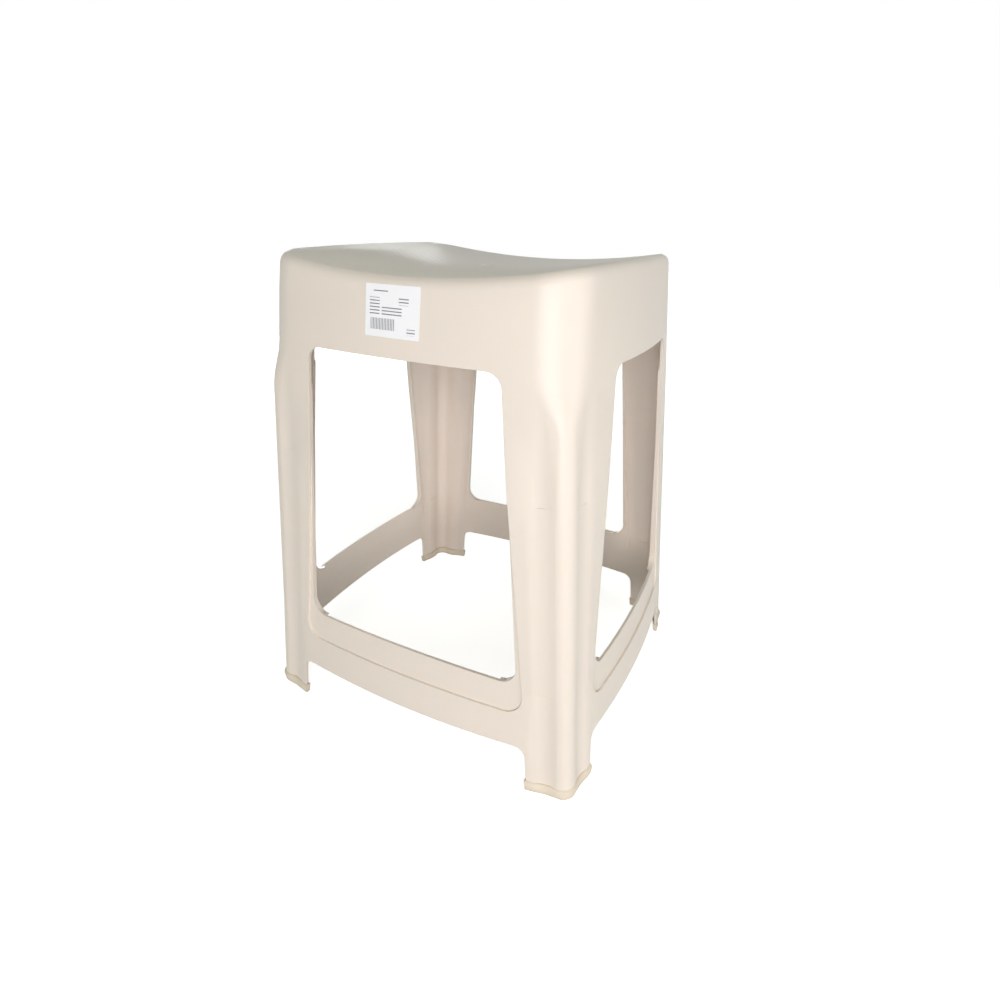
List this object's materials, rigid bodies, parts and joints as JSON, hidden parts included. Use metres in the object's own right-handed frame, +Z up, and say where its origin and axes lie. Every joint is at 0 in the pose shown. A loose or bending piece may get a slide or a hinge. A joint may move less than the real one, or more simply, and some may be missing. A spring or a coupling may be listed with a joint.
{
  "type": "stacking stool",
  "caption": "Moulded plastic stacking stool with a saddle seat, bowed skirt, splayed corner legs, low stretchers and soft foot pads.",
  "frame": {"origin": "middle of the footprint on the floor plane, under the pads", "axes": "+Z up; X along the two long faces; the label is on the -Y face; +X to the right seen from that face"},
  "size_m": [0.3826, 0.3586, 0.4637],
  "materials": {
    "shell_plastic": "satin moulded polypropylene, warm beige",
    "pad_rubber": "soft matt thermoplastic rubber, beige like the shell",
    "label_paper": "matt white self-adhesive label, plain"
  },
  "bodies": {
    "root": {"stool_body": "shell_plastic", "foot_pad_front_left": "pad_rubber", "foot_pad_front_right": "pad_rubber", "foot_pad_rear_left": "pad_rubber", "foot_pad_rear_right": "pad_rubber", "label": "label_paper"}
  },
  "joints": []
}
